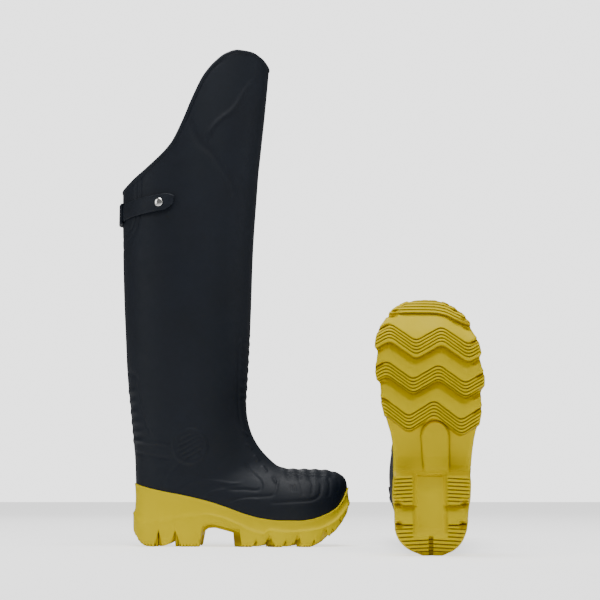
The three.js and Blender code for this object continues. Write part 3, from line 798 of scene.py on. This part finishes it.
def sideNotches(q):
    # where the channels between the bars open at the sides, and the notches of heel and toe
    found = list(outsole["notches"])
    (gapBack, *gap), (barBack, *bar) = outsole["gapNotch"], outsole["barNotch"]
    for top, low in zip(*barEdges(q)):
        found += [(low - gapBack, *gap), (top - barBack, *bar)]
    return found


def openSide(x, q):
    # how far a channel's mouth is cut back at the side
    mouth = sum(ease(0, 8, x - top) * ease(1.2, -1.2, x - low) for top, low in zip(*barEdges(q)))
    return soften(mouth + 0.8 * ease(38, 44, x) * ease(59.5, 57.5, x), 2)


def planEdge(points, x):
    # the plan's edge at x: the table is smoothed along its own length, because it is upright at its ends
    points = np.asarray(points, float)
    length = lengthAlong(points)
    fine = soften(throughPoints(length, points, np.linspace(0, length[-1], 900)), 6)
    fine[0], fine[-1] = points[0], points[-1]
    return np.interp(x, np.maximum.accumulate(fine[:, 0]), fine[:, 1])


def upperAtFeather(gap):
    # the closed line where the upper meets the sole, from the back of the heel up the inner side,
    # round the toe and back, moved outwards by gap
    grid = bootForm(0, 2, 4, 520, 240)[6:]
    lines = []
    for half in (grid[:, 120:], grid[:, 120::-1]):
        over = half[..., 2] - curve(outsole["feather"], half[..., 0])
        row, column = np.nonzero(over[:, :-1] * over[:, 1:] < 0)
        t = (over[row, column] / (over[row, column] - over[row, column + 1]))[:, None]
        cross = half[row, column] * (1 - t) + half[row, column + 1] * t
        lines.append(cross[np.argsort(cross[:, 0]), :2])
    inner, outer = sorted(lines, key=lambda line: -line[:, 1].mean())
    back, toe = np.array([[min(inner[0, 0], outer[0, 0]) - 0.2, 0]]), np.array([[295.2, 0]])
    loop = np.concatenate([back, inner, toe, outer[::-1], back])
    length = lengthAlong(loop)
    even = np.linspace(0, length[-1], 1200, endpoint=False)
    loop = np.stack([np.interp(even, length, loop[:, i]) for i in range(2)], -1)
    loop = softenRound(loop, 9)
    return loop + sideways(loop) * gap


def sideways(loop):
    # unit normals of a closed plan line, pointing out of it
    ahead = np.roll(loop, -1, 0) - np.roll(loop, 1, 0)
    out = np.stack([ahead[:, 1], -ahead[:, 0]], -1)
    out = softenRound(out, 5)
    out /= np.linalg.norm(out, axis=-1, keepdims=True)
    turned = (out * (loop - loop.mean(0))).sum() < 0
    return -out if turned else out


def runAlong(loop, marks):
    # distance along a closed plan line from the back of the heel, and that distance at each mark in x
    # on the way out and on the way back
    run = lengthAlong(np.concatenate([loop, loop[:1]]))
    toe = int(np.argmax(loop[:, 0] - 0.001 * np.abs(loop[:, 1])))
    out = np.interp(marks, np.maximum.accumulate(loop[:toe + 1, 0]), run[:toe + 1])
    back = loop[toe:, 0][::-1]
    home = np.interp(marks[::-1], np.maximum.accumulate(back), run[toe:-1][::-1])
    return run, np.concatenate([[0], out, [run[toe]], home, [run[-1]]])


def treadGrid(spec):
    # the underside as a grid: x along the sole, y from the inner edge to the outer one, z from treadBottom,
    # raised by the notches at the edges. Both run a little closer together near their ends
    u, v = np.linspace(0, 1, spec["along"]), np.linspace(0, 1, spec["across"])
    x = 0.12 + 299.0 * (0.8 * u + 0.2 * 0.5 * (1 - np.cos(np.pi * u)))
    v = 0.88 * v + 0.12 * 0.5 * (1 - np.cos(np.pi * v))
    inner, outer = planEdge(spec["inner"], x), planEdge(spec["outer"], x)
    inner = (inner - spec["mouthCut"] * openSide(x, -inner))[:, None]
    outer = (outer - spec["mouthCut"] * openSide(x, outer))[:, None]
    x = x[:, None] * np.ones((1, len(v)))
    y = inner * (1 - v) - outer * v
    edge = np.minimum(np.minimum(inner - y, y + outer), np.minimum(x, 299.2 - x) + 0.2)
    z, dark = treadBottom(x, -y, edge)
    lug = curve(spec["lugs"], x)
    for middle, half, height, reach in sideNotches(-y):
        vee = height * np.clip(1 - np.abs(x - middle) / half, 0, 1) * ease(reach, reach * 0.35, edge)
        z = np.maximum(z, lug + vee)
    z = z + 0.9 * ease(1.6, 0, edge)
    return np.stack([x, y, z], -1).reshape(-1, 3), dark.ravel()


def soleWalls(spec, base, lipLine, rows):
    # rings up from the tread's rim: each of its places goes to the same share of the way round the line at
    # the upper, bulges at the foot, is hollow above the crease, turns over at the lip and goes down inside
    bx, by, bz = base.T
    marks = np.array(spec["stations"])
    run, stations = runAlong(base[:, :2], marks)
    lipRun, lipStations = runAlong(lipLine, marks)
    at = np.interp(run[:-1], stations, lipStations)
    closed = np.concatenate([lipLine, lipLine[:1]])
    topX, topY = (np.interp(at, lipRun, closed[:, k]) for k in range(2))
    topZ = curve(spec["feather"], topX)
    wz = bz + (topZ - bz) * rows
    lug = curve(spec["lugs"], bx)
    rise = np.clip((wz - lug) / np.maximum(topZ - lug, 1), 0, 1)
    inward = 0.3 * ease(0, 0.3, rise) + 0.7 * ease(0.15, 1, rise)
    wx, wy = bx + (topX - bx) * inward, by + (topY - by) * inward
    out = sideways(base[:, :2])
    proud = sum(height * bell(distanceTo(spec[line], wx, wz)[0], 1.5) for line, height in spec["creases"])
    crease = np.where(bx < 181, curve(spec["crease"], bx), curve(spec["toeCrease"], bx))
    proud += spec["bulge"] * ease(1.8, -1.2, wz - crease) * ease(0, 5, wz - bz)
    proud -= spec["hollow"] * np.sin(np.pi * np.clip((wz - crease) / np.maximum(topZ - crease, 1), 0, 1))
    proud += 0.5 * bell(topZ - wz, 1.6)
    wall = np.stack([wx + out[:, 0] * proud, wy + out[:, 1] * proud, wz], -1)
    lip = np.stack([topX, topY, topZ], -1)
    lip[:, :2] += out * 0.3
    tucked = [np.concatenate([lip[:, :2] - out * inwards, lip[:, 2:] + up], -1)
              for inwards, up in spec["tuck"]]
    return np.concatenate([wall, lip[None], np.stack(tucked)])


def bootOutsole(side):
    # the tread's grid, walls up from its rim and a fan across the middle of the last ring
    n, m = outsole["along"], outsole["across"]
    tread, dark = treadGrid(outsole)
    # the rim of the tread, once round from the back of the heel, as places in the grid
    i, j = np.arange(n), np.arange(m)
    ring = np.concatenate([i * m, (n - 1) * m + j[1:], i[-2::-1] * m + m - 1, j[-2:0:-1]])
    ring = np.roll(ring, -int(np.argmin(np.abs(tread[ring, 1]) + 10 * tread[ring, 0])))
    rows = np.concatenate([[0.012, 0.03], np.linspace(0.055, 0.93, 21), [0.97, 0.99]])[:, None]
    rings = soleWalls(outsole, tread[ring], upperAtFeather(outsole["lipGap"]), rows)
    points = np.concatenate([tread, rings.reshape(-1, 3), rings[-1].mean(0)[None]])
    a, b = np.meshgrid(i[:-1], j[:-1], indexing="ij")
    grid = (a * m + b).ravel()
    first, count = n * m, len(ring)
    k = np.arange(count)
    after = (k + 1) % count
    quads = np.concatenate([np.stack([grid, grid + 1, grid + m + 1, grid + m], -1),
                            np.stack([ring[k], ring[after], first + after, first + k], -1),
                            ringQuads(len(rings), count, first)])
    last = first + (len(rings) - 1) * count
    triangles = np.stack([last + k, last + after, np.full(count, len(points) - 1)], -1)
    piece = meshFrom(side + "_lugged_sole", side, points, quads, triangles)
    # painted shade in the tread's grooves and under its steep edges, carried a little way into the walls
    # where the grooves open into them
    paintedShade = np.zeros(len(points), np.float32)
    paintedShade[:first] = dark
    grooved = dark[ring] * ease(0.05, 0, rows)
    paintedShade[first:first + grooved.size] = grooved.ravel()
    piece.data.attributes.new("paintedShade", "FLOAT", "POINT").data.foreach_set("value", paintedShade)
    dress(piece, "yellow_pvc", "pair", side + "_outsole")


strap = {
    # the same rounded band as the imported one: height, thickness, and how far it stands off the calf
    "width": 23.4, "thickness": 2.8, "level": 464, "climb": 12.0, "tip": 1.385, "snap": 1.165,
    "anchor": -1.36, "close": 0.8, "away": 4.6, "squareness": (0.22, 0.7), "round": 40, "steps": 240,
    "grooveIn": 2.6, "grooveDepth": 0.35,  # a groove along each edge of its outer face
    "centreX": 71.7, "halfDepth": 94.6, "halfWidth": 53.4,
    "bend": [(-14, -27.4, 467), (-14, -33.0, 467)],  # the line between these two points crosses the strap where its free end begins
}


def strapPlace(angle, out, up):
    # a point round the calf: angle 0 is the middle of the calf, positive towards the outer side
    s = strap
    normal = np.stack([-np.cos(angle) * s["halfWidth"], -np.sin(angle) * s["halfDepth"]], -1)
    normal /= np.linalg.norm(normal, axis=-1, keepdims=True)
    x = s["centreX"] - np.cos(angle) * s["halfDepth"] + normal[..., 0] * out
    y = -np.sin(angle) * s["halfWidth"] + normal[..., 1] * out
    z = s["level"] + s["climb"] * (np.abs(angle) / s["tip"]) ** 1.3 + up
    return np.stack([x, y, z + 0 * x], -1)


def strapOff(angle):
    # how far the band stands off the calf: close to it, easing out to the snap on the outer side
    s = strap
    return s["close"] + (s["away"] - s["close"]) * ease(0.35, s["snap"], np.abs(angle)) * (angle > 0)


def calfStrap(side):
    # a band from the riveted end on the inner side round the back to the snap's slanted tip
    s = strap
    ends = 0.5 * (1 - np.cos(np.linspace(0, np.pi, s["steps"])))
    mixed = 0.55 * np.linspace(0, 1, s["steps"]) + 0.45 * ends
    angle = s["anchor"] + (s["tip"] - s["anchor"]) * mixed
    # a rounded rectangle: cosine and sine to a small power
    wide, thick = (np.sign(c) * np.abs(c) ** power for c, power in
                   zip((np.cos(turns(s["round"])), np.sin(turns(s["round"]))), s["squareness"]))
    toTip = np.clip((angle - (s["tip"] - 0.2)) / 0.2, 0, 1)
    toEnd = np.clip(((s["anchor"] + 0.07) - angle) / 0.07, 0, 1)
    half = s["width"] / 2 * (1 - 0.55 * toTip**2.4) * (1 - 0.4 * toEnd**3)
    thin = s["thickness"] / 2 * (1 - 0.6 * np.clip((toTip - 0.93) / 0.07, 0, 1) ** 2)
    lean = 0.035 * toTip
    up = half[:, None] * wide[None]
    edge = 1 - 0.10 * np.abs(up / half[:, None]) ** 6  # slightly pillowed across
    out = strapOff(angle)[:, None] + s["thickness"] / 2 + thin[:, None] * thick[None] * edge
    edgeGroove = bell(np.abs(up) - half[:, None] + s["grooveIn"], 0.55) * (thick[None] > 0.3)
    out = out - s["grooveDepth"] * edgeGroove
    lifted = 0.9 * toTip[:, None] ** 2 * (1 + 0 * up)
    rings = strapPlace(angle[:, None] + lean[:, None] * up / s["width"], out, up + lifted)
    piece = tube(side + "_calf_strap", side, rings)
    dress(piece, "navy_pvc", None, side + "_strap_tail", side + "_strap_anchor")
    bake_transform(piece)


keeper = {
    # its inner and outer face off the calf, how far its opening and its outline pass the strap's edges,
    # the angle to each side of the middle of the calf, the radii of its corners and its swell in the middle
    "inner": 3.7, "outer": 5.7, "opening": 0.7, "outline": 3.1, "angle": 0.26,
    "outerCorner": 1.5, "innerCorner": 0.6, "foot": 0.25, "swell": 0.35, "steps": 44,
}


def cornerOf(x, y, radius, start, stop):
    # a quarter of a circle, as seven points
    return [(x + radius * math.cos(a), y + radius * math.sin(a)) for a in np.linspace(start, stop, 7)]


def strapKeeper(side):
    # a moulded loop over the strap at the back: the outline of an upright ring, carried round the calf
    s = keeper
    inHalf, outHalf = strap["width"] / 2 + s["opening"], strap["width"] / 2 + s["outline"]
    big, small, foot, q = s["outerCorner"], s["innerCorner"], s["foot"], math.pi / 2
    outerLine = [(outHalf, foot)] + cornerOf(outHalf - big, s["outer"] - big, big, 0, q)
    outerLine += cornerOf(-outHalf + big, s["outer"] - big, big, q, 2 * q) + [(-outHalf, foot)]
    innerLine = [(-inHalf, foot)] + cornerOf(-inHalf + small, s["inner"] - small, small, 2 * q, q)
    innerLine += cornerOf(inHalf - small, s["inner"] - small, small, q, 0) + [(inHalf, foot)]
    up, out = np.array(outerLine + innerLine).T
    angle = np.linspace(-s["angle"], s["angle"], s["steps"])[:, None]
    swell = s["swell"] * np.cos(angle / s["angle"] * q) * (out > s["inner"] + 0.2)
    rings = strapPlace(angle * np.ones_like(out), out[None] + swell, up[None] * np.ones_like(swell))
    rows, columns = rings.shape[:2]
    # each end is closed by a band of faces from the outer line of the profile to the inner one
    outerPlaces, innerPlaces = np.arange(len(outerLine)), np.arange(columns - 1, len(outerLine) - 1, -1)
    caps = []
    for base in (0, (rows - 1) * columns):
        a, b = base + outerPlaces, base + innerPlaces
        strip = np.stack([a[:-1], a[1:], b[1:], b[:-1]], -1)
        caps.append(strip if base else strip[:, ::-1])
    quads = np.concatenate([ringQuads(rows, columns)] + caps)
    piece = meshFrom(side + "_strap_loop", side, rings.reshape(-1, 3), quads)
    dress(piece, "navy_pvc", "pair", side + "_strap_keeper")


def rounded(corners, radius, steps=5):
    # a turned profile with its corners rounded: each corner becomes a short curve
    corners = np.array(corners, float)
    line = [corners[0]]
    for a, b, c in zip(corners[:-2], corners[1:-1], corners[2:]):
        before, after = np.linalg.norm(b - a), np.linalg.norm(c - b)
        reach = min(radius, before * 0.45, after * 0.45)
        start, stop = b + (a - b) / before * reach, b + (c - b) / after * reach
        for t in np.linspace(0, 1, steps):
            line.append((1 - t) ** 2 * start + 2 * t * (1 - t) * b + t * t * stop)
    return line + [corners[-1]]


fasteners = {
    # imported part, place on the strap, metal, how round its corners are, and its turned profile: radius then
    # height off the calf, from the axis round and back to the axis, or a closed line for a ring
    "snap_button": ("snap_cap", "snap", "nickel", 0.35, [
        (0.05, 4.9), (1.7, 4.9), (1.7, 7.75), (6, 7.75), (6, 8.4), (4.8, 9.3), (2.4, 9.8), (0.05, 9.95)]),
    "snap_ring": ("snap_socket", "snap", "nickel", 0.3, [(3.9, 2.0), (5.2, 2.0), (5.2, 4.2), (3.9, 4.2)]),
    "snap_stud_head": ("snap_stud", "snap", "nickel", 0.3, [
        (0.05, 0.3), (4.6, 0.3), (4.6, 1.2), (1.7, 1.4), (1.7, 2), (2.3, 2.4), (2.3, 3), (1.6, 3.4),
        (0.05, 3.5)]),
    "snap_back": ("snap_post", "snap", "steel", 0.3, [
        (0.05, -6.5), (4.6, -6.5), (4.6, -5.5), (1.7, -5.5), (1.7, -0.1), (0.05, -0.1)]),
    "rivet_head": ("strap_rivet", "rivet", "steel", 0.35, [
        (0.05, -6.2), (1.7, -6.2), (1.7, 3.75), (5, 3.75), (5, 4.5), (3, 5.2), (0.05, 5.45)]),
    "rivet_back": ("rivet_washer", "rivet", "steel", 0.3, [(2, -6.7), (5, -6.7), (5, -5.5), (2, -5.5)]),
}
onFlap = ("snap_button", "snap_ring")  # these go with the strap's free end


def turnedPart(name, side, angle, corners, radius):
    # a profile carried round its axis, which stands off the calf at the given angle
    closed = corners[0][0] > 0.5
    line = np.array(rounded(corners + corners[:1] if closed else corners, radius))
    middle = strapPlace(np.array(angle), 0.0, 0.0)
    axis = strapPlace(np.array(angle), 1.0, 0.0) - middle
    up = np.array([0, 0, 1.0])
    across = np.cross(up, axis)
    turn = turns(48)[None, :, None]
    r, out = line[:, 0, None, None], line[:, 1, None, None]
    rings = middle + out * axis + r * (np.cos(turn) * across + np.sin(turn) * up)
    return hoop(name, side, rings[:-1]) if closed else tube(name, side, rings)


def fastenersOf(side):
    for name, (packed, place, slot, radius, corners) in fasteners.items():
        angle = strap["snap"] if place == "snap" else -strap["snap"]
        piece = turnedPart(side + "_" + name, side, angle, corners, radius)
        dress(piece, slot, side + "_strap_flap" if name in onFlap else "pair", side + "_" + packed)


footbed = {"edge": 0.0013, "edgeSteps": 3, "edgeAngle": 40, "mergeAngle": 4, "fill": 0.9}


def cushionedFootbed(side):
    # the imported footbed's own shape with its doubles merged, its rims rounded and its faces shaded smooth
    source = frame["nodes"][side + "_footbed"]
    mesh = source.data.copy()
    work = bmesh.new()
    work.from_mesh(mesh)
    bmesh.ops.remove_doubles(work, verts=work.verts, dist=1e-5)
    flatWithin = math.radians(footbed["mergeAngle"])
    bmesh.ops.dissolve_limit(work, angle_limit=flatWithin, verts=work.verts, edges=work.edges)
    work.to_mesh(mesh)
    work.free()
    mesh.name = side + "_cloth_footbed"
    mesh.materials.clear()
    mesh.polygons.foreach_set("use_smooth", np.ones(len(mesh.polygons), bool))
    piece = bpy.data.objects.new(mesh.name, mesh)
    scene.collection.objects.link(piece)
    rim = piece.modifiers.new("rim", "BEVEL")
    rim.width, rim.segments, rim.limit_method = footbed["edge"], footbed["edgeSteps"], "ANGLE"
    rim.angle_limit, rim.harden_normals = math.radians(footbed["edgeAngle"]), True
    dress(piece, "footbed_foam", "pair", side + "_footbed")


hiddenParts = {"insole_board": "insole_board", "midsole_plate": "steel", "toe_cap": "steel"}


def finishHiddenParts(side):
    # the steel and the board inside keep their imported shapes
    for part, slot in hiddenParts.items():
        piece = frame["nodes"][side + "_" + part]
        piece.data.materials.clear()
        piece.data.materials.append(materials[slot])


for side in sides:
    print(side, "upper, lining and rim")
    bootUpper(side)
    knitLining(side)
    rimBead(side)
    print(side, "sole")
    bootOutsole(side)
    print(side, "strap and fasteners")
    calfStrap(side)
    strapKeeper(side)
    fastenersOf(side)
    print(side, "footbed and parts inside")
    cushionedFootbed(side)
    finishHiddenParts(side)


print("studio")
studio = {
    "camera": (0.003, -1.984, 0.068), "lens": 85.4, "pitch": 7.85,
    # the lens sees a bright wall and floor; the light they cast is dimmer, so that the boots keep their depth
    "wall": (0.2, 2.6), "floor": (0.15, 1.35), "floorColour": (0.92, 0.92, 0.92, 1), "floorRoughness": 0.9,
    "lights": {  # place, aim, size, power
        "overhead": ((-0.1, -0.3, 2.5), (0, 0, 0.3), (1.2, 0.9), 38),
        "front": ((0.45, -1.9, 2.5), (0.05, 0, 0.2), (0.9, 0.6), 22),
        "back": ((-0.6, 2.3, 1.9), (0, 0, 0.3), (1.2, 0.7), 12),
        "left": ((-2.0, -1.2, 1.1), (0, 0, 0.35), (0.5, 1.5), 7),
        "right": ((2.2, -0.9, 1.2), (0, 0, 0.3), (0.5, 1.4), 5),
    },
}


def seenByLens(tree, cast, seen, socket):
    # one brightness for the light a surface casts and another for what the lens sees directly
    ray = node(tree.nodes, "ShaderNodeLightPath")
    level = node(tree.nodes, "ShaderNodeMapRange")
    level.inputs["To Min"].default_value, level.inputs["To Max"].default_value = cast, seen
    tree.links.new(ray.outputs["Is Camera Ray"], level.inputs["Value"])
    tree.links.new(level.outputs["Result"], socket)


def softLight(name, place, aim, size, power):
    light = bpy.data.lights.new(name, "AREA")
    light.shape, light.energy = "RECTANGLE", power
    light.size, light.size_y = size
    lamp = bpy.data.objects.new(name, light)
    lamp.location = place
    lamp.rotation_euler = (Vector(aim) - Vector(place)).to_track_quat("-Z", "Y").to_euler()
    scene.collection.objects.link(lamp)


bpy.ops.mesh.primitive_plane_add(size=30, location=(0, 0, cadBox[0].z))
floor = bpy.context.object
floor.name = "floor"
paper = newMaterial("paper")
paperSockets = paper[3].inputs
paperSockets["Base Color"].default_value = studio["floorColour"]
paperSockets["Roughness"].default_value = studio["floorRoughness"]
paperSockets["Emission Color"].default_value = (1, 1, 1, 1)
floor.data.materials.append(paper[0])

world = bpy.data.worlds.new("studio")
scene.world = world
world.use_nodes = True
background = world.node_tree.nodes["Background"].inputs
background["Color"].default_value = (1, 1, 1, 1)
seenByLens(world.node_tree, *studio["wall"], background["Strength"])
seenByLens(paper[0].node_tree, *studio["floor"], paperSockets["Emission Strength"])

for name, settings in studio["lights"].items():
    softLight(name, *settings)

eye = bpy.data.cameras.new("camera")
eye.lens, eye.sensor_width = studio["lens"], 36.0
eye.clip_start, eye.clip_end = 0.05, 50
camera = bpy.data.objects.new("camera", eye)
camera.location = studio["camera"]
camera.rotation_euler = (math.radians(90 + studio["pitch"]), 0, 0)
scene.collection.objects.link(camera)
scene.camera = camera
